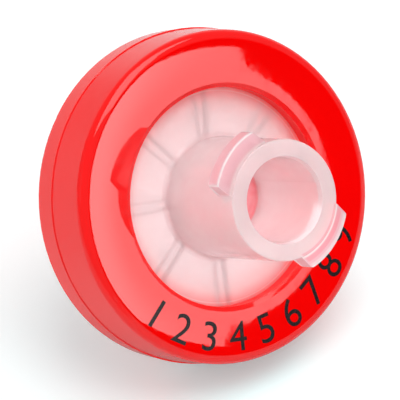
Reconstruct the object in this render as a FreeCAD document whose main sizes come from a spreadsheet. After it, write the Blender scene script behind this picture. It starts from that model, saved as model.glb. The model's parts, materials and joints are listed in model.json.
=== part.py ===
"""Overmoulded 13 mm syringe filter: two natural polypropylene housing halves around a round
membrane, sealed by a red ring moulded over their rims. The inlet half carries a female luer-lock
hub and the outlet half a male luer-slip nozzle.

Every piece is drawn about the filter's own axis, with height 0 at the ring's outlet face and
heights growing towards the inlet. All four then take one placement, which lays the filter down as
it comes to rest: on the ring's outlet-side edge and the nozzle's tip, inlet up and to the front.
The origin is on the table, under the middle of the resting filter. Lengths are in millimetres.
"""

import FreeCAD
import Part

import math
import os

import Sketcher

doc = FreeCAD.newDocument("SyringeFilter")

# ---------------------------------------------------------------- driving dimensions

DIMENSIONS = (
    # what lies inside, from the axis outwards
    ("membrane_radius", 6.5, "membrane"),
    ("membrane_clamp", 0.8, "rim of the membrane that the two halves pinch"),
    ("membrane_clearance", 0.1, "round the membrane, in the outlet half's seat"),
    ("housing_land", 0.7, "rim of the two halves outside that seat, face to face"),
    ("ring_wall", 1.29, "ring outside the halves, at its widest"),
    ("ring_lip_width", 1.7, "of both lips over the halves, inwards"),
    # and from the outlet face to the inlet face
    ("ring_lip_thickness", 0.85, "of both lips"),
    ("outlet_plate_thickness", 1.1, "wall under the membrane"),
    ("membrane_thickness", 0.2, "membrane"),
    ("chamber_height", 0.6, "space over the membrane"),
    ("inlet_plate_thickness", 1.0, "wall over that space"),
    # overmoulded ring
    ("ring_parting_height", 1.77, "mould's parting line, where it is widest, above the outlet face"),
    ("ring_front_draft_deg", 1.5, "outer wall from the parting line to the inlet face"),
    ("ring_rear_draft_deg", 2, "and to the outlet face"),
    ("ring_front_round", 0.42, "inlet-side edge"),
    ("ring_rear_round", 0.37, "outlet-side edge"),
    ("gate_flat_depth", 0.08, "into that edge, the flat of the trimmed gate, which it rests on"),
    ("ring_ridge_height", 0.05, "fine ridge left by the mould, all along the parting line"),
    ("ring_ridge_front_foot", 0.05, "parting line to that ridge's foot, towards the inlet"),
    ("ring_ridge_rear_foot", 0.1, "and towards the outlet"),
    ("ring_relief_width", 0.23, "bevel round the opening in each lip, along the radius"),
    ("ring_relief_drop", 0.13, "and along the axis"),
    # ribs in the inlet chamber
    ("rib_count", 8, "radial ribs under the inlet plate"),
    ("rib_start_radius", 1.5, "inner end of the ribs"),
    ("rib_inner_width", 0.4, "rib width at its inner end"),
    ("rib_outer_width", 0.66, "rib width at its outer end, inside the wall of the chamber"),
    ("rib_gap", 0.1, "between the ribs and the membrane"),
    # inlet hub
    ("luer_taper", 0.06, "on diameter, socket and nozzle"),
    ("socket_radius", 2.14, "luer socket at its mouth, inside the lead-in"),
    ("socket_depth", 6.05, "hub end to socket floor"),
    ("socket_floor_thickness", 1.4, "socket floor to the chamber's roof"),
    ("socket_lead_width", 0.08, "lead-in bevel at the mouth, along the radius"),
    ("socket_lead_depth", 0.3, "and along the axis"),
    ("socket_floor_round", 0.3, "between the socket's wall and floor"),
    ("inlet_port_radius", 0.75, "hole from the socket to the chamber"),
    ("hub_wall", 0.92, "hub round the socket, at the hub end"),
    ("hub_draft", 0.04, "hub's growth in radius from its end to the inlet plate"),
    ("hub_root_round", 0.25, "fillet to the inlet plate"),
    ("hub_end_round", 0.08, "outer edge of the hub end"),
    # luer-lock lugs
    ("lug_angle_deg", -60, "middle of the first lug; the other is opposite"),
    ("lug_width", 3.36, "between each lug's parallel sides"),
    ("lug_crest_radius", 3.9, "lugs, from the axis"),
    ("lug_front_drop", 0.25, "crest's front edge behind the hub end"),
    ("lug_crest_length", 0.9, "crest, along the axis"),
    ("lug_back_drop", 0.2, "fall of the back flank from crest to hub"),
    ("lug_corner_round", 0.28, "corners between each crest and its parallel sides"),
    ("lug_corner_turn_deg", 50, "turned by that corner's arc before it runs out at the crest"),
    ("lug_edge_round", 0.12, "front and back edges of each crest"),
    # outlet nozzle
    ("collar_length", 2.35, "outlet plate to the nozzle's shoulder"),
    ("collar_root_radius", 3.1, "at the outlet plate"),
    ("collar_end_radius", 2.85, "at the shoulder"),
    ("collar_root_round", 0.3, "fillet to the outlet plate"),
    ("collar_end_round", 0.3, "edge of the shoulder"),
    ("nozzle_length", 8.15, "shoulder to tip"),
    ("nozzle_tip_radius", 1.98, "male luer at its tip"),
    ("nozzle_tip_round", 0.2, "outer edge of the tip"),
    ("outlet_bore_radius", 1.1, "nozzle's passage at the tip"),
    ("outlet_port_radius", 0.8, "nozzle's passage at the drained face"),
    # drained face under the membrane
    ("drain_depth", 0.4, "grooves in the outlet plate"),
    ("drain_ring_start", 1.5, "inner wall of the first round groove"),
    ("drain_ring_pitch", 1.1, "from one round groove to the next"),
    ("drain_width", 0.6, "round grooves and radial channels"),
)

OVERRUN = 0.5  # of a cut past the face it opens through, or of a rib into its wall
LUG_SPARE = 0.3  # of the trimming outline past the lugs' crest
LUG_SINK = 0.15  # of the lugs' flanks into the hub's wall

sheet = doc.addObject("Spreadsheet::Sheet", "Sizes")
for row, (alias, number, note) in enumerate(DIMENSIONS, start=1):
    sheet.set(f"A{row}", alias)
    sheet.set(f"B{row}", str(number))
    sheet.set(f"C{row}", note)
    sheet.setAlias(f"B{row}", alias)
doc.recompute()


class Size:
    """A length, angle or count that carries both its expression over the sheet and its value."""

    def __init__(self, text, value):
        self.text = text
        self.value = float(value)

    def join(self, other, sign, value, swap=False):
        text = other.text if isinstance(other, Size) else repr(other)
        pair = (text, self.text) if swap else (self.text, text)
        return Size(f"({pair[0]} {sign} {pair[1]})", value)

    def __add__(self, other):
        return self.join(other, "+", self.value + number_of(other))

    def __sub__(self, other):
        return self.join(other, "-", self.value - number_of(other))

    def __mul__(self, other):
        return self.join(other, "*", self.value * number_of(other))

    def __truediv__(self, other):
        return self.join(other, "/", self.value / number_of(other))

    def __rsub__(self, other):
        return self.join(other, "-", number_of(other) - self.value, swap=True)

    def __neg__(self):
        return Size(f"(-1 * {self.text})", -self.value)


def number_of(size):
    return size.value if isinstance(size, Size) else float(size)


def of(alias):
    return Size(f"Sizes.{alias}", sheet.get(alias))


def sine(angle):
    return Size(f"sin({angle.text})", math.sin(math.radians(angle.value)))


def cosine(angle):
    return Size(f"cos({angle.text})", math.cos(math.radians(angle.value)))


def tangent(angle):
    return Size(f"tan({angle.text})", math.tan(math.radians(angle.value)))


def angle_with_tangent(ratio):
    return Size(f"(atan({ratio.text}) / 1deg)", math.degrees(math.atan(ratio.value)))


def angle_with_sine(ratio):
    return Size(f"(asin({ratio.text}) / 1deg)", math.degrees(math.asin(ratio.value)))


def root(size):
    return Size(f"sqrt({size.text})", math.sqrt(size.value))


# ---------------------------------------------------------------- radii and heights they share

seat_radius = of("membrane_radius") + of("membrane_clearance")
chamber_radius = of("membrane_radius") - of("membrane_clamp")
housing_radius = seat_radius + of("housing_land")
parting_radius = housing_radius + of("ring_wall")
window_radius = housing_radius - of("ring_lip_width")
hub_end_radius = of("socket_radius") + of("hub_wall")
hub_root_radius = hub_end_radius + of("hub_draft")

outlet_plate_face = of("ring_lip_thickness")
membrane_under = outlet_plate_face + of("outlet_plate_thickness")
membrane_top = membrane_under + of("membrane_thickness")
plate_under = membrane_top + of("chamber_height")
plate_top = plate_under + of("inlet_plate_thickness")
ring_top = plate_top + of("ring_lip_thickness")
socket_floor = plate_under + of("socket_floor_thickness")
hub_end = socket_floor + of("socket_depth")
shoulder = outlet_plate_face - of("collar_length")
nozzle_tip = shoulder - of("nozzle_length")

taper_slope = of("luer_taper") / 2
front_draft_slope = tangent(of("ring_front_draft_deg"))
rear_draft_slope = tangent(of("ring_rear_draft_deg"))

# The table touches two edges: the ring's outlet-side edge, at its flat, and the nozzle's tip. In the
# plane that holds the axis each is an arc, and the rim and tip points are those arcs' centres.
rim_round = of("ring_rear_round")
rim_to_table = rim_round - of("gate_flat_depth")
rim_height = rim_round
wall_there = parting_radius - rear_draft_slope * (of("ring_parting_height") - rim_round)
rim_radius = wall_there - rim_round / cosine(of("ring_rear_draft_deg"))

tip_round = of("nozzle_tip_round")
tip_height = nozzle_tip + tip_round
nozzle_there = of("nozzle_tip_radius") + taper_slope * tip_round
tip_radius = nozzle_there - tip_round * root(taper_slope * taper_slope + 1)

rim_past_tip = rim_radius - tip_radius
rim_over_tip = rim_height - tip_height
apart = root(rim_past_tip * rim_past_tip + rim_over_tip * rim_over_tip)
lean = angle_with_tangent(rim_past_tip / rim_over_tip)
lean = lean + angle_with_sine((rim_to_table - tip_round) / apart)


# ---------------------------------------------------------------- sketches and features


def bind(thing, name, size):
    thing.setExpression(name, size.text)


def new_body(name):
    body = doc.addObject("PartDesign::Body", name.title().replace("_", ""))
    body.Label = name
    return body


def origin_feature(body, role):
    return next(f for f in body.Origin.OriginFeatures if f.Role == role)


def new_sketch(body, name, plane, height=None, turn=None):
    """A sketch on one of the body's own planes, raised to a height and turned about the axis."""
    sketch = body.newObject("Sketcher::SketchObject", name)
    sketch.AttachmentSupport = [(origin_feature(body, plane), "")]
    sketch.MapMode = "FlatFace"
    if turn is not None:
        sketch.AttachmentOffset = FreeCAD.Placement(
            FreeCAD.Vector(), FreeCAD.Rotation(FreeCAD.Vector(0, 0, 1), turn.value)
        )
        bind(sketch, "AttachmentOffset.Rotation.Angle", turn)
    if height is not None:
        bind(sketch, "AttachmentOffset.Base.z", height)
    return sketch


def constrain(sketch, size, *what):
    """Adds a dimension to the sketch and binds it to the sheet."""
    index = sketch.addConstraint(Sketcher.Constraint(*what, number_of(size)))
    if isinstance(size, Size):
        bind(sketch, f"Constraints[{index}]", size)


def place_point(sketch, geometry, end, x, y):
    """Holds one point of the sketch at x, y from its origin."""
    for size, kind, axis in ((x, "DistanceX", -2), (y, "DistanceY", -1)):
        if number_of(size) == 0:
            sketch.addConstraint(Sketcher.Constraint("PointOnObject", geometry, end, axis))
        else:
            constrain(sketch, size, kind, -1, 1, geometry, end)


def outline(sketch, corners):
    """A closed outline through corners of (x, y) or (x, y, radius). A corner with a radius is an
    arc tangent to both of its sides, and its sharp corner stays as a construction point."""
    spots = [FreeCAD.Vector(number_of(c[0]), number_of(c[1]), 0) for c in corners]
    radii = [number_of(c[2]) if len(c) > 2 else 0.0 for c in corners]
    count = len(corners)
    starts, ends, arcs = [], [], []
    for i, spot in enumerate(spots):
        back = (spots[i - 1] - spot).normalize()
        ahead = (spots[(i + 1) % count] - spot).normalize()
        half = back.getAngle(ahead) / 2
        reach = radii[i] / math.tan(half)
        ends.append(spot + back * reach)
        starts.append(spot + ahead * reach)
        middle = spot + (back + ahead).normalize() * (radii[i] / math.sin(half))
        arcs.append((middle, back, ahead))
    first = sketch.GeometryCount
    for i in range(count):
        sketch.addGeometry(Part.LineSegment(starts[i], ends[(i + 1) % count]), False)
    for i, corner in enumerate(corners):
        before, after = first + (i - 1) % count, first + i
        if not radii[i]:
            sketch.addConstraint(Sketcher.Constraint("Coincident", before, 2, after, 1))
            place_point(sketch, after, 1, corner[0], corner[1])
            continue
        middle, back, ahead = arcs[i]
        angles = [math.atan2(p.y - middle.y, p.x - middle.x) for p in (ends[i], starts[i])]
        left_turn = back.x * ahead.y - back.y * ahead.x < 0
        if not left_turn:
            angles.reverse()
        circle = Part.Circle(middle, FreeCAD.Vector(0, 0, 1), radii[i])
        arc = sketch.addGeometry(Part.ArcOfCircle(circle, *angles), False)
        entry, leave = (1, 2) if left_turn else (2, 1)
        sketch.addConstraint(Sketcher.Constraint("Tangent", before, 2, arc, entry))
        sketch.addConstraint(Sketcher.Constraint("Tangent", arc, leave, after, 1))
        constrain(sketch, corner[2], "Radius", arc)
        sharp = sketch.addGeometry(Part.Point(spots[i]), True)
        place_point(sketch, sharp, 1, corner[0], corner[1])
        sketch.addConstraint(Sketcher.Constraint("PointOnObject", sharp, 1, before))
        sketch.addConstraint(Sketcher.Constraint("PointOnObject", sharp, 1, after))


def half_section(body, name, corners):
    """A sketch of radius against height, to be turned about the filter's axis."""
    sketch = new_sketch(body, name + "Section", "XZ_Plane")
    outline(sketch, corners)
    return sketch


def turned(body, name, sketch, cut=False):
    kind = "PartDesign::Groove" if cut else "PartDesign::Revolution"
    feature = body.newObject(kind, name)
    feature.Profile = sketch
    feature.ReferenceAxis = (sketch, ["V_Axis"])
    feature.Angle = 360
    sketch.Visibility = False
    body.Tip = feature
    return feature


def extruded(body, name, sketch, length, cut=False, reverse=False):
    kind = "PartDesign::Pocket" if cut else "PartDesign::Pad"
    feature = body.newObject(kind, name)
    feature.Profile = sketch
    feature.Reversed = reverse
    bind(feature, "Length", length)
    sketch.Visibility = False
    body.Tip = feature
    return feature


def around_axis(body, name, original, count):
    pattern = body.newObject("PartDesign::PolarPattern", name)
    pattern.Originals = [original]
    pattern.Axis = (origin_feature(body, "Z_Axis"), [""])
    pattern.Angle = 360
    pattern.Occurrences = round(count.value)
    bind(pattern, "Occurrences", count)
    body.Tip = pattern
    return pattern


def volume_of(body):
    doc.recompute()
    return body.Shape.Volume


# ---------------------------------------------------------------- the four pieces


def overmould_ring():
    """The red ring: a channel section whose two lips hold the housing halves together."""
    body = new_body("overmould_ring")
    relief = window_radius + of("ring_relief_width")
    parting_height = of("ring_parting_height")
    front_foot = of("ring_ridge_front_foot")
    rear_foot = of("ring_ridge_rear_foot")
    section = half_section(
        body,
        "Ring",
        (
            (window_radius, outlet_plate_face),
            (window_radius, of("ring_relief_drop")),
            (relief, 0),
            (parting_radius - rear_draft_slope * parting_height, 0, of("ring_rear_round")),
            (parting_radius - rear_draft_slope * rear_foot, parting_height - rear_foot),
            (parting_radius + of("ring_ridge_height"), parting_height),
            (parting_radius - front_draft_slope * front_foot, parting_height + front_foot),
            (
                parting_radius - front_draft_slope * (ring_top - parting_height),
                ring_top,
                of("ring_front_round"),
            ),
            (relief, ring_top),
            (window_radius, ring_top - of("ring_relief_drop")),
            (window_radius, plate_top),
            (housing_radius, plate_top),
            (housing_radius, outlet_plate_face),
        ),
    )
    turned(body, "Ring", section)
    cut_gate_flat(body)
    return body


def cut_gate_flat(body):
    """The flat that the trimmed gate leaves on the outlet-side edge. It lies on the table."""
    reach = rim_round * 2
    across, down = cosine(lean), sine(lean)
    flat_radius = rim_radius + across * rim_to_table
    flat_height = rim_height - down * rim_to_table
    upper = (-(flat_radius + down * reach), flat_height + across * reach)
    lower = (-(flat_radius - down * reach), flat_height - across * reach)
    below = (lower[0] - across * OVERRUN, lower[1] - down * OVERRUN)
    beyond = (upper[0] - across * OVERRUN, upper[1] - down * OVERRUN)
    sketch = new_sketch(body, "GateFlatSection", "YZ_Plane")
    outline(sketch, (upper, lower, below, beyond))
    flat = extruded(body, "GateFlat", sketch, parting_radius, cut=True)
    flat.SideType = "Symmetric"


def inlet_housing():
    """The inlet half: a plate with ribs underneath, and the hub with its luer socket and lugs."""
    body = new_body("inlet_housing")
    add_lugs(body)
    section = half_section(
        body,
        "PlateAndHub",
        (
            (0, plate_under),
            (chamber_radius, plate_under),
            (chamber_radius, membrane_top),
            (housing_radius, membrane_top),
            (housing_radius, plate_top),
            (hub_root_radius, plate_top, of("hub_root_round")),
            (hub_end_radius, hub_end, of("hub_end_round")),
            (0, hub_end),
        ),
    )
    turned(body, "PlateAndHub", section)
    add_ribs(body)
    cut_socket(body)
    return body


def add_lugs(body):
    """Both lugs are one bar, turned to their profile and then trimmed to their width. The hub is
    turned through it afterwards, so the bar's flanks run on a little way inside the hub's wall.
    """
    crest = of("lug_crest_radius")
    surface = hub_end_radius
    inside = surface - LUG_SINK
    front = hub_end - of("lug_front_drop")
    back = front - of("lug_crest_length")
    front_slope = (of("lug_front_drop") - of("hub_end_round")) / (crest - surface)
    back_slope = of("lug_back_drop") / (crest - surface)
    top = front + front_slope * (crest - inside)
    bottom = back - back_slope * (crest - inside)
    section = half_section(
        body,
        "LugBar",
        (
            (0, bottom),
            (inside, bottom),
            (crest, back, of("lug_edge_round")),
            (crest, front, of("lug_edge_round")),
            (inside, top),
            (0, top),
        ),
    )
    turned(body, "LugBar", section)
    trim_lugs(body, bottom, top)


def trim_lugs(body, bottom, top):
    """Cuts away all but a straight-sided bar. Each corner's arc is carried on by a short straight
    that runs out almost along the crest.
    """
    before = volume_of(body)
    crest = of("lug_crest_radius")
    half_width = of("lug_width") / 2
    corner_round = of("lug_corner_round")
    corner_turn = of("lug_corner_turn_deg")
    past_round = crest - corner_round
    inside_side = half_width - corner_round
    arc_start = root(past_round * past_round - inside_side * inside_side)
    corner = arc_start + corner_round * tangent(corner_turn / 2)
    bar_end = crest + LUG_SPARE
    end_half_width = half_width - (bar_end - corner) * tangent(corner_turn)
    sketch = new_sketch(body, "LugTrimOutline", "XY_Plane", bottom, of("lug_angle_deg"))
    outline(
        sketch,
        (
            (-corner, -half_width, corner_round),
            (corner, -half_width, corner_round),
            (bar_end, -end_half_width),
            (bar_end, end_half_width),
            (corner, half_width, corner_round),
            (-corner, half_width, corner_round),
            (-bar_end, end_half_width),
            (-bar_end, -end_half_width),
        ),
    )
    outer = bar_end + LUG_SPARE
    outline(sketch, ((-outer, -outer), (outer, -outer), (outer, outer), (-outer, outer)))
    extruded(body, "LugTrim", sketch, top - bottom, cut=True, reverse=True)
    assert volume_of(body) < before, "the lugs' bar is not trimmed"


def add_ribs(body):
    """Ribs under the plate, one in line with each lug; they widen outwards."""
    wall = chamber_radius + OVERRUN
    sketch = new_sketch(body, "RibOutline", "XY_Plane", plate_under, of("lug_angle_deg"))
    outline(
        sketch,
        (
            (of("rib_start_radius"), -of("rib_inner_width") / 2),
            (wall, -of("rib_outer_width") / 2),
            (wall, of("rib_outer_width") / 2),
            (of("rib_start_radius"), of("rib_inner_width") / 2),
        ),
    )
    height = plate_under - membrane_top - of("rib_gap")
    rib = extruded(body, "Rib", sketch, height, reverse=True)
    around_axis(body, "Ribs", rib, of("rib_count"))


def cut_socket(body):
    """The luer socket, with its lead-in and rounded floor, and the port down to the chamber."""
    before = volume_of(body)
    mouth = of("socket_radius")
    cone_length = of("socket_depth") - of("socket_lead_depth")
    floor_radius = mouth - taper_slope * cone_length
    section = half_section(
        body,
        "Socket",
        (
            (0, plate_under - OVERRUN),
            (of("inlet_port_radius"), plate_under - OVERRUN),
            (of("inlet_port_radius"), socket_floor),
            (floor_radius, socket_floor, of("socket_floor_round")),
            (mouth, hub_end - of("socket_lead_depth")),
            (mouth + of("socket_lead_width"), hub_end),
            (mouth + of("socket_lead_width"), hub_end + OVERRUN),
            (0, hub_end + OVERRUN),
        ),
    )
    turned(body, "Socket", section, cut=True)
    assert volume_of(body) < before, "the socket cuts nothing"


def outlet_housing():
    """The outlet half: the membrane's seat, with its drain grooves, and the luer-slip nozzle."""
    body = new_body("outlet_housing")
    tip_radius = of("nozzle_tip_radius")
    section = half_section(
        body,
        "PlateAndNozzle",
        (
            (of("outlet_port_radius"), membrane_under),
            (seat_radius, membrane_under),
            (seat_radius, membrane_top),
            (housing_radius, membrane_top),
            (housing_radius, outlet_plate_face),
            (of("collar_root_radius"), outlet_plate_face, of("collar_root_round")),
            (of("collar_end_radius"), shoulder, of("collar_end_round")),
            (tip_radius + taper_slope * of("nozzle_length"), shoulder),
            (tip_radius, nozzle_tip, of("nozzle_tip_round")),
            (of("outlet_bore_radius"), nozzle_tip),
        ),
    )
    turned(body, "PlateAndNozzle", section)
    cut_drains(body)
    return body


def cut_drains(body):
    """Round grooves in the seat, joined by radial channels that lead to the nozzle's passage."""
    before = volume_of(body)
    floor = membrane_under - of("drain_depth")
    rings = new_sketch(body, "DrainRingSection", "XZ_Plane")
    room = chamber_radius - of("drain_ring_start") - of("drain_width")
    ring_count = int((room / of("drain_ring_pitch")).value) + 1
    for ring in range(ring_count):
        inner = of("drain_ring_start") + of("drain_ring_pitch") * ring
        outer = inner + of("drain_width")
        corners = (
            (inner, floor),
            (outer, floor),
            (outer, membrane_under + OVERRUN),
            (inner, membrane_under + OVERRUN),
        )
        outline(rings, corners)
    turned(body, "DrainRings", rings, cut=True)
    with_rings = volume_of(body)
    assert with_rings < before, "the round grooves cut nothing"

    half_width = of("drain_width") / 2
    sketch = new_sketch(body, "ChannelOutline", "XY_Plane", membrane_under, of("lug_angle_deg"))
    outline(
        sketch,
        (
            (of("outlet_port_radius") / 2, -half_width),
            (chamber_radius, -half_width),
            (chamber_radius, half_width),
            (of("outlet_port_radius") / 2, half_width),
        ),
    )
    channel = extruded(body, "Channel", sketch, of("drain_depth"), cut=True)
    around_axis(body, "Channels", channel, of("rib_count"))
    assert volume_of(body) < with_rings, "the channels cut nothing"


def membrane():
    """A plain round disc, trapped between the two halves."""
    body = new_body("membrane")
    sketch = new_sketch(body, "MembraneOutline", "XY_Plane", membrane_under)
    rim = Part.Circle(FreeCAD.Vector(), FreeCAD.Vector(0, 0, 1), sheet.get("membrane_radius"))
    circle = sketch.addGeometry(rim, False)
    sketch.addConstraint(Sketcher.Constraint("Coincident", circle, 3, -1, 1))
    constrain(sketch, of("membrane_radius"), "Radius", circle)
    extruded(body, "Disc", sketch, of("membrane_thickness"))
    return body


# ---------------------------------------------------------------- how it lies


def lay_down(pieces):
    """Leans the filter onto the table."""
    lift = rim_to_table + rim_radius * cosine(lean) - rim_height * sine(lean)
    front_reach = (hub_end - of("lug_front_drop")) * cosine(lean) + of("lug_crest_radius") * sine(lean)
    back_reach = of("nozzle_tip_radius") * sine(lean) - nozzle_tip * cosine(lean)
    shift = (front_reach - back_reach) / 2

    for piece in pieces:
        turn = FreeCAD.Rotation(FreeCAD.Vector(1, 0, 0), 90 - lean.value)
        piece.Placement = FreeCAD.Placement(FreeCAD.Vector(0, shift.value, lift.value), turn)
        bind(piece, "Placement.Rotation.Angle", 90 - lean)
        bind(piece, "Placement.Base.y", shift)
        bind(piece, "Placement.Base.z", lift)
    return lift, shift


pieces = (overmould_ring(), inlet_housing(), outlet_housing(), membrane())
lift, shift = lay_down(pieces)
doc.recompute()

faults = [o.Name for o in doc.Objects if "Invalid" in o.State or "Error" in o.State]
assert not faults, f"objects that failed: {faults}"
for piece in pieces:
    shape = piece.Shape
    assert not shape.isNull() and shape.isValid(), f"{piece.Label} has no valid shape"
    assert len(shape.Solids) == 1, f"{piece.Label} is {len(shape.Solids)} solids"

os.makedirs("parts", exist_ok=True)
for piece in pieces:
    piece.Shape.exportStep(f"parts/{piece.Label}.step")
    box = piece.Shape.BoundBox
    print(f"{piece.Label}: {piece.Shape.Volume:.1f} mm3, lowest {box.ZMin:.3f}, top {box.ZMax:.3f}")
print(f"axis {lean.value:.3f} deg above the table, axis height {lift.value:.3f}, shift {shift.value:.3f}")
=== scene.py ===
"""Looks for the syringe filter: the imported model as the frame, its finishes, the print on the
ring, and a small product-photo set. Everything is in metres, in the model's own frame, apart
from the radii and heights of the finishes, which are in millimetres."""

import math
import json

import bpy
from mathutils import Matrix, Vector


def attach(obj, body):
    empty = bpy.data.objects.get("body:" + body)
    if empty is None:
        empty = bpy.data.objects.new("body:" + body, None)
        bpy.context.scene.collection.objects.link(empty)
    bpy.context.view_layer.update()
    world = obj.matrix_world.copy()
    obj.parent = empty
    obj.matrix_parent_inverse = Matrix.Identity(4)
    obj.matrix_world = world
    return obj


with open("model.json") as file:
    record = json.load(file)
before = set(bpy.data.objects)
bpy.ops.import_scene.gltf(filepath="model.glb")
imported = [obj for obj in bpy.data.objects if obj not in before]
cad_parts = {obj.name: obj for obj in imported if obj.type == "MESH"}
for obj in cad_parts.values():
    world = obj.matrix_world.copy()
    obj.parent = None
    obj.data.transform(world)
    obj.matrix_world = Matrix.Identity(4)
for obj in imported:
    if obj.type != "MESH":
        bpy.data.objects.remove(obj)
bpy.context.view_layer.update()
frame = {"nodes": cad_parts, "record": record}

MM = 0.001
mounts = {m["name"]: m for m in frame["record"]["mounts"]}
hub_end = Vector(mounts["inlet_luer_socket"]["pos_m"])
axis = Vector(mounts["inlet_luer_socket"]["axis"]).normalized()
outlet_face = Vector(mounts["outlet_ring_face"]["pos_m"])
outlet_centre = hub_end - axis * (hub_end - outlet_face).dot(axis)

RING_HEIGHT = 4.6 * MM
ring_face_centre = outlet_centre + axis * RING_HEIGHT
ring_right = Vector((1, 0, 0))
ring_up = axis.cross(ring_right)


def around_ring(angle):
    """The direction outwards from the axis, at an angle that counts from right towards up."""
    return ring_right * math.cos(angle) + ring_up * math.sin(angle)


# ---------------------------------------------------------------- camera

VIEW_AZIMUTH = math.radians(-37.7)
VIEW_ELEVATION = math.radians(41.77)
CAMERA_DISTANCE = 250 * MM
AIM_RIGHT = -1.371 * MM
AIM_UP = -0.148 * MM
FOCAL_LENGTH = 443.0
SENSOR_WIDTH = 36.0
CLIP_START = 0.01
CLIP_END = 10

view_right = Vector((math.cos(VIEW_AZIMUTH), math.sin(VIEW_AZIMUTH), 0))
to_camera = Vector(
    (
        math.sin(VIEW_AZIMUTH) * math.cos(VIEW_ELEVATION),
        -math.cos(VIEW_AZIMUTH) * math.cos(VIEW_ELEVATION),
        math.sin(VIEW_ELEVATION),
    )
)
view_up = to_camera.cross(view_right)
to_mirror_image = axis * (2 * axis.dot(to_camera)) - to_camera
aim = ring_face_centre + view_right * AIM_RIGHT + view_up * AIM_UP


def link(thing):
    bpy.context.scene.collection.objects.link(thing)
    return thing


def add_camera():
    data = bpy.data.cameras.new("camera")
    data.lens = FOCAL_LENGTH
    data.sensor_width = SENSOR_WIDTH
    data.clip_start = CLIP_START
    data.clip_end = CLIP_END
    camera = link(bpy.data.objects.new("camera", data))
    turn = Matrix((view_right, view_up, to_camera)).transposed()
    camera.matrix_world = Matrix.Translation(aim + to_camera * CAMERA_DISTANCE) @ turn.to_4x4()
    bpy.context.scene.camera = camera


add_camera()

# ---------------------------------------------------------------- shader helpers


def new_material(name):
    material = bpy.data.materials.new(name)
    material.use_nodes = True
    material.node_tree.nodes.clear()
    return material


class Nodes:
    """Adds nodes to one tree. An input takes a number, a colour or another node's output."""

    def __init__(self, tree):
        self.tree = tree

    def add(self, kind, inputs=None, **settings):
        node = self.tree.nodes.new("ShaderNode" + kind)
        for key, value in settings.items():
            setattr(node, key, value)
        for key, value in (inputs or {}).items():
            socket = node.inputs[key]
            if isinstance(value, bpy.types.NodeSocket):
                self.tree.links.new(value, socket)
            else:
                socket.default_value = value
        return node

    def math(self, operation, *values):
        inputs = dict(enumerate(values))
        return self.add("Math", inputs, operation=operation).outputs[0]

    def product(self, first, second):
        return self.math("MULTIPLY", first, second)

    def vector(self, operation, *values, output="Vector"):
        inputs = dict(enumerate(values))
        return self.add("VectorMath", inputs, operation=operation).outputs[output]

    def ramp(self, value, start, end, low=0.0, high=1.0):
        """low up to start, high from end on, and smooth between."""
        inputs = {"Value": value, "From Min": start, "From Max": end, "To Min": low, "To Max": high}
        return self.add("MapRange", inputs, interpolation_type="SMOOTHSTEP").outputs[0]

    def line(self, value, middle, full, gone, share=1.0):
        """share where the value is within full of the middle, fading out until gone."""
        off_middle = self.math("ABSOLUTE", self.math("SUBTRACT", value, middle))
        return self.ramp(off_middle, full, gone, share, 0.0)

    def mix_colour(self, share, first, second):
        share_in, first_in, second_in, colour_out = 0, 6, 7, 2
        inputs = {share_in: share, first_in: first, second_in: second}
        return self.add("Mix", inputs, data_type="RGBA").outputs[colour_out]

    def pass_lamps(self, surface, colour):
        """The surface, which lets the lamps' light through in the given colour."""
        open_side = self.add("BsdfTransparent", {"Color": colour})
        path = self.add("LightPath").outputs
        inputs = {0: path["Is Shadow Ray"], 1: surface.outputs[0], 2: open_side.outputs[0]}
        return self.add("MixShader", inputs).outputs[0]

    def noise(self, position, scale, detail=2.0):
        inputs = {"Vector": position, "Scale": scale, "Detail": detail}
        return self.add("TexNoise", inputs).outputs[0]


# ---------------------------------------------------------------- floor and light

FLOOR_SIZE = 4.0
FLOOR_COLOUR = (0.8, 0.8, 0.8, 1)
# Round patches of painted cyan tint under the ring, which cancel the red light that the ring
# throws on the floor: how far each is full, where it is gone, and its colour.
RED_BOUNCE_CANCEL_TINTS = (
    (8 * MM, 18 * MM, (0.76, 0.855, 0.855, 1)),
    (1.5 * MM, 4.0 * MM, (0.67, 0.93, 0.93, 1)),
)
RED_BOUNCE_CENTRE_FROM_RING = Vector((-0.8, -2.5)) * MM
RED_BOUNCE_STRETCH = 0.7
FLOOR_GLOW_SEEN = 0.25
WORLD_FILL = 0.5

across_view = (to_camera - axis * axis.dot(to_camera)).normalized()
# The room seen in reflections has a strength of its own, and patches: a direction, the angles
# from it, in degrees, at which the patch is full and gone, and its strength. The dark spot's
# strength is none.
BACKDROP = (-to_camera, 64, 77, 0.75)
RIGHT_WALL = (-across_view, 30, 45, 0.3)
LEFT_STRIP = (across_view + axis * 0.1, 6, 14, 0.65)
ROOM = 0.42
DARK_SPOT = (to_mirror_image, 13, 24)


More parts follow.
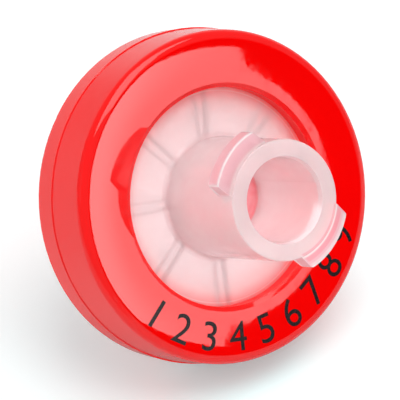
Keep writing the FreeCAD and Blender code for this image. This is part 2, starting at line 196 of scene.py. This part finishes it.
def add_floor():
    mesh = bpy.data.meshes.new("floor")
    half = FLOOR_SIZE / 2
    corners = [(-half, -half, 0), (half, -half, 0), (half, half, 0), (-half, half, 0)]
    mesh.from_pydata(corners, [], [(0, 1, 2, 3)])
    floor = link(bpy.data.objects.new("floor", mesh))
    material = new_material("floor")
    nodes = Nodes(material.node_tree)
    position = nodes.add("TexCoord").outputs["Object"]
    red_bounce_centre = ring_face_centre.xy + RED_BOUNCE_CENTRE_FROM_RING
    away = nodes.vector("SUBTRACT", position, (*red_bounce_centre, 0))
    squeezed = nodes.vector("MULTIPLY", away, (RED_BOUNCE_STRETCH, 1, 1))
    distance = nodes.vector("LENGTH", squeezed, output="Value")
    colour = FLOOR_COLOUR
    # Painted cyan tint near the ring, which cancels the red light it throws on the floor.
    for full, gone, tint in RED_BOUNCE_CANCEL_TINTS:
        colour = nodes.mix_colour(nodes.ramp(distance, full, gone, 1.0, 0.0), colour, tint)
    paper = nodes.add("BsdfDiffuse", {"Color": colour})
    path = nodes.add("LightPath").outputs
    seen = nodes.math("MAXIMUM", path["Is Camera Ray"], path["Is Transmission Ray"])
    strength = nodes.product(seen, FLOOR_GLOW_SEEN / FLOOR_COLOUR[0])
    glow = nodes.add("Emission", {"Color": colour, "Strength": strength})
    both = nodes.add("AddShader", {0: paper.outputs[0], 1: glow.outputs[0]})
    nodes.add("OutputMaterial", {"Surface": both.outputs[0]})
    mesh.materials.append(material)


def add_world():
    """White where it is seen itself, an even fill for matt surfaces, and in reflections a dim
    room with bright patches and a dark spot."""
    world = bpy.data.worlds.new("studio")
    bpy.context.scene.world = world
    world.use_nodes = True
    world.node_tree.nodes.clear()
    nodes = Nodes(world.node_tree)
    path = nodes.add("LightPath").outputs
    direction = nodes.add("TexCoord").outputs["Generated"]

    def spot(centre, full, gone, outside, inside):
        toward = tuple(centre.normalized())
        facing = nodes.vector("DOT_PRODUCT", direction, toward, output="Value")
        edges = [math.cos(math.radians(angle)) for angle in (gone, full)]
        return nodes.ramp(facing, *edges, outside, inside)

    mirrored = spot(*DARK_SPOT, ROOM, 0.0)
    for centre, full, gone, strength in (BACKDROP, RIGHT_WALL, LEFT_STRIP):
        mirrored = nodes.math("MAXIMUM", mirrored, spot(centre, full, gone, 0.0, strength))
    white = nodes.math("MAXIMUM", path["Is Camera Ray"], path["Is Transmission Ray"])
    fill = nodes.product(path["Is Diffuse Ray"], WORLD_FILL)
    glossy = nodes.product(path["Is Glossy Ray"], mirrored)
    strength = nodes.math("MAXIMUM", white, nodes.math("MAXIMUM", fill, glossy))
    sky = nodes.add("Background", {"Color": (1, 1, 1, 1), "Strength": strength})
    nodes.add("OutputWorld", {"Surface": sky.outputs[0]})


def add_softbox(name, offset, across, size, radiance, fade=None):
    """A rectangular lamp that faces the ring from an offset. across is its first side; size is
    its length along that side and its width. fade is the share of the width over which it
    brightens, and its strength where it is dimmest."""
    data = bpy.data.lights.new(name, "AREA")
    data.shape = "RECTANGLE"
    data.size, data.size_y = size
    data.energy = radiance * math.pi * size[0] * size[1]
    light = link(bpy.data.objects.new(name, data))
    back = offset.normalized()
    side = (across - back * across.dot(back)).normalized()
    turn = Matrix((side, back.cross(side), back)).transposed()
    light.matrix_world = Matrix.Translation(ring_face_centre + offset) @ turn.to_4x4()
    if fade:
        data.use_nodes = True
        data.node_tree.nodes.clear()
        nodes = Nodes(data.node_tree)
        place = nodes.add("NewGeometry").outputs["Parametric"]
        across_width = nodes.add("SeparateXYZ", {0: place}).outputs[1]
        strength = nodes.ramp(across_width, 0.0, fade[0], fade[1], 1.0)
        glow = nodes.add("Emission", {"Strength": strength})
        nodes.add("OutputLight", {"Surface": glow.outputs[0]})


PANEL_DISTANCE = 2000 * MM
PANEL_REACH_IN = math.radians(8.0)
PANEL_REACH_OUT = math.radians(0.45)
PANEL_REACH_UP = math.radians(3.3)
PANEL_REACH_DOWN = math.radians(3.1)
PANEL_RADIANCE = 5.6
PANEL_FADE = (0.4, 0.62)
OVERHEAD_OFFSET = Vector((50, -85, 400)) * MM
OVERHEAD_SIZE = (340 * MM, 340 * MM)
OVERHEAD_RADIANCE = 3.15
SIDE_FILL_FROM = Vector((-0.95, 0.25, 0.35))
SIDE_FILL_STRENGTH = 0.9
SIDE_FILL_WIDTH = math.radians(70)


def add_lights():
    """A small softbox where the ring's inlet face mirrors it to the camera, a large one
    overhead, which runs as a line of light along the ring's rounded edge, and a soft fill from
    the left, kept out of reflections."""
    inward = (to_camera - to_mirror_image * to_mirror_image.dot(to_camera)).normalized()
    upward = inward.cross(to_mirror_image)
    middle_in = (PANEL_REACH_IN - PANEL_REACH_OUT) / 2
    middle_up = (PANEL_REACH_UP - PANEL_REACH_DOWN) / 2
    toward = to_mirror_image + inward * math.tan(middle_in) + upward * math.tan(middle_up)
    spans = (PANEL_REACH_UP + PANEL_REACH_DOWN, PANEL_REACH_IN + PANEL_REACH_OUT)
    size = [2 * PANEL_DISTANCE * math.tan(span / 2) for span in spans]
    offset = toward.normalized() * PANEL_DISTANCE
    add_softbox("softbox_right", offset, upward, size, PANEL_RADIANCE, PANEL_FADE)
    add_softbox("softbox_overhead", OVERHEAD_OFFSET, view_right, OVERHEAD_SIZE, OVERHEAD_RADIANCE)
    data = bpy.data.lights.new("side_fill", "SUN")
    data.energy = SIDE_FILL_STRENGTH
    data.angle = SIDE_FILL_WIDTH
    fill = link(bpy.data.objects.new("side_fill", data))
    fill.rotation_euler = SIDE_FILL_FROM.to_track_quat("Z", "Y").to_euler()
    fill.visible_glossy = False


add_floor()
add_world()
add_lights()
bpy.context.scene.view_settings.view_transform = "Standard"

# ---------------------------------------------------------------- finishes

# Radii are from the filter's axis, and heights along it from the ring's inlet face, both in
# millimetres. Of a ramp's numbers, the first two are where it starts and ends, and the others,
# if it has them, its values there; without them it rises from 0 to 1. A line's numbers are its
# middle, how far to each side it is full and where it is gone, and its share.
SHRINK = 0.003 * MM
PLASTIC_IOR = 1.49


def distance_along(nodes, position, direction):
    """How far a point lies from the centre of the ring's inlet face in a direction."""
    offset = nodes.vector("SUBTRACT", position, tuple(ring_face_centre))
    return nodes.vector("DOT_PRODUCT", offset, tuple(direction), output="Value")


def place_on_part(nodes):
    """A point's place on the part, its distance from the filter's axis and its height along
    that axis over the ring's inlet face, the last two in millimetres."""
    position = nodes.add("TexCoord").outputs["Object"]
    offset = nodes.vector("SUBTRACT", position, tuple(ring_face_centre))
    off_axis = nodes.vector("CROSS_PRODUCT", offset, tuple(axis))
    radius = nodes.math("DIVIDE", nodes.vector("LENGTH", off_axis, output="Value"), MM)
    along = nodes.math("DIVIDE", distance_along(nodes, position, axis), MM)
    return position, radius, along


CROWN_CREST_RADIUS = 6.9
CROWN_CURVE = math.radians(1.0)
CROWN_CURVED_INWARDS = 0.6
RIM_FALL = 0.03
RIM_FALL_RAMP = (7.98, 8.24, 0.0, -RIM_FALL)
WAVES_PER_METRE = 900
WAVE_HEIGHT = 0.0008
POLISH_PER_METRE = 2500


def crown(nodes, radius):
    """The slight crown that shrinkage leaves on the ring's faces: curved outwards from just
    inside its crest, straight inwards of that, and falling away at the rim."""
    past_crest = nodes.math("SUBTRACT", radius, CROWN_CREST_RADIUS)
    curved = nodes.math("MAXIMUM", past_crest, -CROWN_CURVED_INWARDS)
    arm = nodes.math("MULTIPLY_ADD", curved, -1 / 2, past_crest)
    fall = nodes.product(nodes.product(curved, arm), -CROWN_CURVE)
    rim = nodes.ramp(radius, *RIM_FALL_RAMP)
    return nodes.math("ADD", fall, rim)


RED = (0.92, 0.001, 0.001, 1)
POLISH_RAMP = (0.35, 0.65, 0.7, 1.3)
FACE_ROUGHNESS_RAMP = (-0.4, -0.1, 0.12, 0.02)
OPENING_ROUGHNESS_RAMP = (5.7, 6.0, 0.3, 0.0)
OPENING_WALL_RAMP = (-0.2, -0.05, 1.0, 0.0)
LIP_RAMP = (7.3, 8.0, 1.0, 0.0)
LIP_UNDERSIDE = -0.9
LIGHT_THROUGH_LIP = (1.0, 0.5, 0.5, 1)
BLOCKED = (0, 0, 0, 1)


def red_plastic():
    material = new_material("red_plastic")
    nodes = Nodes(material.node_tree)
    position, radius, along = place_on_part(nodes)
    waves = nodes.noise(position, WAVES_PER_METRE)
    height = nodes.math("MULTIPLY_ADD", waves, WAVE_HEIGHT, crown(nodes, radius))
    bump = nodes.add("Bump", {"Height": height, "Distance": MM})
    polish = nodes.ramp(nodes.noise(position, POLISH_PER_METRE), *POLISH_RAMP)
    face_gloss = nodes.product(polish, nodes.ramp(along, *FACE_ROUGHNESS_RAMP))
    inside = nodes.ramp(radius, *OPENING_ROUGHNESS_RAMP)
    opening_wall = nodes.product(inside, nodes.ramp(along, *OPENING_WALL_RAMP))
    surface = nodes.add(
        "BsdfPrincipled",
        {
            "Base Color": RED,
            "Roughness": nodes.math("ADD", face_gloss, opening_wall),
            "IOR": PLASTIC_IOR,
            "Normal": bump.outputs[0],
        },
    )
    in_lip = nodes.math("GREATER_THAN", along, LIP_UNDERSIDE)
    lip = nodes.product(nodes.ramp(radius, *LIP_RAMP), in_lip)
    let_through = nodes.mix_colour(lip, BLOCKED, LIGHT_THROUGH_LIP)
    nodes.add("OutputMaterial", {"Surface": nodes.pass_lamps(surface, let_through)})
    return material


RIB_COUNT = 8
FIRST_RIB_ANGLE = math.radians(-60)
RIB_START = 1.5
RIB_HALF_WIDTH = 0.2
RIB_WIDENING = 0.028
RIB_EDGE_WIDTH = 0.12
RIB_TOP_RAMP = (-1.84, -1.8, 1.0, 0.0)
RIB_FOOT_RAMP = (-2.5, -2.4)


def rib_edge_shade(nodes, position, radius, along):
    """Painted shade: fine dark lines along the sides of the ribs under the inlet plate, where they
    show through it.
    """
    across = distance_along(nodes, position, ring_right)
    upward = distance_along(nodes, position, ring_up)
    angle = nodes.math("ARCTAN2", upward, across)
    from_first = nodes.math("ADD", angle, 2 * math.pi - FIRST_RIB_ANGLE)
    from_rib = nodes.math("PINGPONG", from_first, math.pi / RIB_COUNT)
    beside = nodes.product(nodes.math("SINE", from_rib), radius)
    half_width_at_axis = RIB_HALF_WIDTH - RIB_WIDENING * RIB_START
    half_width = nodes.math("MULTIPLY_ADD", radius, RIB_WIDENING, half_width_at_axis)
    edge = nodes.line(beside, half_width, 0.0, RIB_EDGE_WIDTH)
    under_plate = nodes.ramp(along, *RIB_TOP_RAMP)
    over_membrane = nodes.ramp(along, *RIB_FOOT_RAMP)
    return nodes.product(edge, nodes.product(under_plate, over_membrane))


LOWER_LUG_ANGLE = math.radians(-60)
LOWER_LUG_WIDTH_RAMP = (1.5, 1.68, 1.0, 0.0)
LOWER_LUG_HEIGHT_RAMP = (4.6, 4.8)
BAND_CORE = 0.4
# Bands of painted light on the lower lug, red light from the ring and paler highlights: middle,
# reach to each side, share and colour.
LOWER_LUG_LIGHT_BANDS = (
    (2.98, 0.12, 0.6, (1.0, 0.36, 0.42, 1)),
    (3.34, 0.2, 0.75, (1.0, 0.34, 0.42, 1)),
    (3.78, 0.2, 0.8, (1.0, 0.84, 0.88, 1)),
    (3.13, 0.05, 0.9, (1.0, 1.0, 1.0, 1)),
)


def paint_lower_lug_light(nodes, position, radius, along, colour):
    """The colour, with the lower lug's front painted in round bands of light: red light from the
    ring, and paler highlights.
    """
    outward = around_ring(LOWER_LUG_ANGLE)
    out = distance_along(nodes, position, outward)
    side = distance_along(nodes, position, axis.cross(outward) / MM)
    in_width = nodes.ramp(nodes.math("ABSOLUTE", side), *LOWER_LUG_WIDTH_RAMP)
    on_lug = nodes.product(nodes.math("GREATER_THAN", out, 0.0), in_width)
    on_lug = nodes.product(on_lug, nodes.ramp(along, *LOWER_LUG_HEIGHT_RAMP))
    for middle, reach, share, tint in LOWER_LUG_LIGHT_BANDS:
        light_band = nodes.line(radius, middle, reach * BAND_CORE, reach, share)
        colour = nodes.mix_colour(nodes.product(light_band, on_lug), colour, tint)
    return colour


UNDER_PLATE_RAMP = (-1.9, -1.7, 1.0, 0.0)
RING_GLOW_RAMP = (5.4, 5.8)
HUB_HEIGHT_RAMP = (0.2, 3.0)
SOCKET_FLOOR_SHADE_LINE = (-0.45, 0.1, 0.35)
SOCKET_WIDTH_RAMP = (2.0, 2.2, 1.0, 0.0)
LUG_FLANK_RAMP = (3.1, 3.25)
LUG_HEIGHT_RAMP = (3.0, 3.4)
LUG_HIGHLIGHT_LINE = (3.82, 0.0, 0.08, 0.85)
LUG_BACK_HIGHLIGHT_RAMP = (4.45, 4.65, 0.8, 0.0)
PLATE_HEIGHT_RAMP = (-1.2, -1.0)
PLATE_RIM_GLOW_RAMP = (4.7, 5.7)
PLATE_HIGHLIGHT_LINE = (5.42, 0.0, 0.05, 0.7)
TRANSMISSION = 0.5
SCATTER_REACH = 1.0 * MM
MOTTLE_PER_METRE = 1500
MOTTLE_TINT_RAMP = (0.3, 0.7, 0.1, 0.0)
MOTTLE_ROUGHNESS_RAMP = (0.3, 0.7, 0.19, 0.26)

# The plastic's near-white tone, with painted pink standing for the ring's red light in it, pinker
# up the hub than at its root.
LOW_TONE_AND_GLOW_COLOUR = (1.0, 0.86, 0.87, 1)
HIGH_TONE_AND_GLOW_COLOUR = (1.0, 0.79, 0.8, 1)
# Painted red glow from the ring, round the inlet plate's rim.
PLATE_RIM_GLOW_COLOUR = (1.0, 0.5, 0.5, 1)
# Painted highlight: a pale line round the plate close to its rim.
PLATE_HIGHLIGHT_COLOUR = (1.0, 0.95, 0.95, 1)
# Painted red glow from the ring, on the housing under the plate near the ring.
RING_GLOW_COLOUR = (1.0, 0.1, 0.1, 1)
# Painted shade along the sides of the ribs.
RIB_SHADE_COLOUR = (0.35, 0.12, 0.13, 1)
# Painted red shade on the floor of the inlet socket.
SOCKET_FLOOR_SHADE_COLOUR = (0.92, 0.24, 0.28, 1)
# Painted pink on the lugs, standing for the ring's red light seen through them.
LUG_PINK_GLOW_COLOUR = (0.97, 0.58, 0.63, 1)
# Painted white highlights on the lugs' edges.
LUG_HIGHLIGHT_COLOUR = (1.0, 1.0, 1.0, 1)
MOTTLE_COLOUR = (1.0, 0.6, 0.62, 1)
CLEAR = (1, 1, 1, 1)


def clear_plastic():
    material = new_material("natural_polypropylene")
    nodes = Nodes(material.node_tree)
    position, radius, along = place_on_part(nodes)
    under_plate = nodes.ramp(along, *UNDER_PLATE_RAMP)
    # Painted red glow from the ring, on the housing under the plate near the ring.
    ring_glow = nodes.product(nodes.ramp(radius, *RING_GLOW_RAMP), under_plate)
    # Painted shade lines along the sides of the ribs.
    rib_shade = rib_edge_shade(nodes, position, radius, along)
    up_hub = nodes.ramp(along, *HUB_HEIGHT_RAMP)
    in_socket = nodes.ramp(radius, *SOCKET_WIDTH_RAMP)
    # Painted red shade on the floor of the inlet socket.
    socket_floor_shade = nodes.product(nodes.line(along, *SOCKET_FLOOR_SHADE_LINE), in_socket)
    lug_height = nodes.ramp(along, *LUG_HEIGHT_RAMP)
    # The lugs, painted pink for the ring's red light seen through them.
    lug = nodes.product(nodes.ramp(radius, *LUG_FLANK_RAMP), lug_height)
    # Painted highlights along the lugs' crest and back edges.
    lug_front_highlight = nodes.line(radius, *LUG_HIGHLIGHT_LINE)
    lug_back_highlight = nodes.ramp(along, *LUG_BACK_HIGHLIGHT_RAMP)
    lug_edge_highlight = nodes.product(lug, nodes.math("MAXIMUM", lug_front_highlight, lug_back_highlight))
    on_plate = nodes.ramp(along, *PLATE_HEIGHT_RAMP)
    # Painted red glow from the ring, round the inlet plate's rim.
    plate_rim_glow = nodes.product(nodes.ramp(radius, *PLATE_RIM_GLOW_RAMP), on_plate)
    # Painted highlight: a pale line round the plate close to its rim.
    plate_highlight = nodes.product(nodes.line(radius, *PLATE_HIGHLIGHT_LINE), on_plate)
    # Near-white tone with painted pink for the ring's red light, pinker up the hub than at its
    # root.
    colour = nodes.mix_colour(up_hub, LOW_TONE_AND_GLOW_COLOUR, HIGH_TONE_AND_GLOW_COLOUR)
    # Painted light over the plastic's tone: red glow at the plate's rim and near the ring, a
    # highlight line, shade along the ribs and on the socket's floor, and pink on the lugs.
    for share, tint in (
        (plate_rim_glow, PLATE_RIM_GLOW_COLOUR),
        (plate_highlight, PLATE_HIGHLIGHT_COLOUR),
        (ring_glow, RING_GLOW_COLOUR),
        (rib_shade, RIB_SHADE_COLOUR),
        (socket_floor_shade, SOCKET_FLOOR_SHADE_COLOUR),
        (lug, LUG_PINK_GLOW_COLOUR),
    ):
        colour = nodes.mix_colour(share, colour, tint)
    # Painted bands of red light from the ring and highlights on the lower lug.
    colour = paint_lower_lug_light(nodes, position, radius, along, colour)
    # Painted white highlights on the lugs' edges.
    colour = nodes.mix_colour(lug_edge_highlight, colour, LUG_HIGHLIGHT_COLOUR)
    mottle = nodes.noise(position, MOTTLE_PER_METRE)
    colour = nodes.mix_colour(nodes.ramp(mottle, *MOTTLE_TINT_RAMP), colour, MOTTLE_COLOUR)
    surface = nodes.add(
        "BsdfPrincipled",
        {
            "Base Color": colour,
            "Roughness": nodes.ramp(mottle, *MOTTLE_ROUGHNESS_RAMP),
            "IOR": PLASTIC_IOR,
            "Transmission Weight": TRANSMISSION,
            "Subsurface Weight": 1.0,
            "Subsurface Radius": (1, 1, 1),
            "Subsurface Scale": SCATTER_REACH,
        },
    )
    nodes.add("OutputMaterial", {"Surface": nodes.pass_lamps(surface, CLEAR)})
    return material


FIBRES_PER_METRE = 15000
FIBRE_DETAIL = 4.0
FIBRE_HEIGHT = 0.004 * MM
FIBRE_ROUGHNESS_RAMP = (0.3, 0.7, 0.8, 1.0)
# Painted red glow from the ring, on the membrane near its edge.
MEMBRANE_RING_GLOW_RAMP = (4.0, 5.6)
MEMBRANE_COLOUR = (0.95, 0.93, 0.93, 1)
MEMBRANE_RING_GLOW_COLOUR = (1.0, 0.13, 0.13, 1)


def membrane_sheet():
    material = new_material("membrane_sheet")
    nodes = Nodes(material.node_tree)
    position, radius, _ = place_on_part(nodes)
    # Painted red glow from the ring, on the membrane near its edge.
    ring_glow = nodes.ramp(radius, *MEMBRANE_RING_GLOW_RAMP)
    colour = nodes.mix_colour(ring_glow, MEMBRANE_COLOUR, MEMBRANE_RING_GLOW_COLOUR)
    fibres = nodes.noise(position, FIBRES_PER_METRE, FIBRE_DETAIL)
    bump = nodes.add("Bump", {"Height": fibres, "Distance": FIBRE_HEIGHT})
    surface = nodes.add(
        "BsdfPrincipled",
        {
            "Base Color": colour,
            "Roughness": nodes.ramp(fibres, *FIBRE_ROUGHNESS_RAMP),
            "Normal": bump.outputs[0],
        },
    )
    nodes.add("OutputMaterial", {"Surface": surface.outputs[0]})
    return material


INK_GRAIN_PER_METRE = 12000
INK_GRAIN_HEIGHT = 0.002 * MM
INK_PATCH_RAMP = (0.4, 0.75)
INK_COLOUR = (0.006, 0.006, 0.007, 1)
THIN_INK_COLOUR = (0.035, 0.015, 0.017, 1)
INK_ROUGHNESS = 0.1
INK_IOR = 1.5
INK_SPECULAR = 0.15


def ink():
    material = new_material("ink")
    nodes = Nodes(material.node_tree)
    position = nodes.add("TexCoord").outputs["Object"]
    grain = nodes.noise(position, INK_GRAIN_PER_METRE)
    patches = nodes.ramp(grain, *INK_PATCH_RAMP)
    colour = nodes.mix_colour(patches, INK_COLOUR, THIN_INK_COLOUR)
    bump = nodes.add("Bump", {"Height": grain, "Distance": INK_GRAIN_HEIGHT})
    surface = nodes.add(
        "BsdfPrincipled",
        {
            "Base Color": colour,
            "Roughness": INK_ROUGHNESS,
            "IOR": INK_IOR,
            "Specular IOR Level": INK_SPECULAR,
            "Normal": bump.outputs[0],
        },
    )
    nodes.add("OutputMaterial", {"Surface": surface.outputs[0]})
    return material


def finish(node, material):
    mesh = frame["nodes"][node].data
    for i in range(len(mesh.materials)):
        mesh.materials[i] = material


def shift_faces(node, distance):
    """Moves a node's faces along their normals, so that faces that touch another node's aren't
    drawn in the same place."""
    modifier = frame["nodes"][node].modifiers.new("contact", "DISPLACE")
    modifier.strength = distance
    modifier.mid_level = 0


finish("overmould_ring", red_plastic())
clear = clear_plastic()
finish("inlet_housing", clear)
finish("outlet_housing", clear)
finish("membrane", membrane_sheet())
for node in ("inlet_housing", "outlet_housing", "membrane"):
    shift_faces(node, -SHRINK)

# ---------------------------------------------------------------- print on the ring

PRINT_NUMBERS = "123456789"
PRINT_MIDDLE_ANGLE = math.radians(-94)
PRINT_PITCH = math.radians(13.6)
PRINT_BASELINE_RADIUS = 7.87 * MM
DIGIT_HEIGHT = 1.5 * MM
INK_THICKNESS = 0.006 * MM
INK_LIFT = 0.003 * MM
HALF_SLAB = 0.5


def number_outline(text):
    """A number as a slab one unit high and one thick, centred on its baseline, facing +Z."""
    curve = bpy.data.curves.new("number", "FONT")
    curve.body = text
    curve.align_x = "CENTER"
    curve.extrude = HALF_SLAB
    holder = link(bpy.data.objects.new("number", curve))
    bpy.context.view_layer.update()
    evaluated = holder.evaluated_get(bpy.context.evaluated_depsgraph_get())
    mesh = bpy.data.meshes.new_from_object(evaluated)
    bpy.data.objects.remove(holder)
    bpy.data.curves.remove(curve)
    base = min(vertex.co.y for vertex in mesh.vertices)
    height = max(vertex.co.y for vertex in mesh.vertices) - base
    corners = []
    for x, y, z in (vertex.co for vertex in mesh.vertices):
        corners.append(Vector((x / height, (y - base) / height, z + HALF_SLAB)))
    faces = [tuple(polygon.vertices) for polygon in mesh.polygons]
    bpy.data.meshes.remove(mesh)
    return corners, faces


def add_print():
    """A plain scale of numbers round the ring's inlet face. It reads counter-clockwise, with
    the tops of the digits towards the hub."""
    corners, faces = [], []

    def stamp(outline, angle):
        outward = around_ring(angle)
        along_arc = axis.cross(outward)
        start = ring_face_centre + outward * PRINT_BASELINE_RADIUS + axis * INK_LIFT
        first = len(corners)
        for x, y, z in outline[0]:
            right = along_arc * (x * DIGIT_HEIGHT)
            up = outward * (y * DIGIT_HEIGHT)
            corners.append(start + right - up + axis * (z * INK_THICKNESS))
        faces.extend(tuple(first + i for i in face) for face in outline[1])

    middle = (len(PRINT_NUMBERS) - 1) / 2
    for i, text in enumerate(PRINT_NUMBERS):
        angle = PRINT_MIDDLE_ANGLE + (i - middle) * PRINT_PITCH
        stamp(number_outline(text), angle)
    mesh = bpy.data.meshes.new("ring_numbers")
    mesh.from_pydata(corners, [], faces)
    mesh.validate()
    piece = link(bpy.data.objects.new("ring_numbers", mesh))
    mesh.materials.append(ink())
    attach(piece, "root")


add_print()
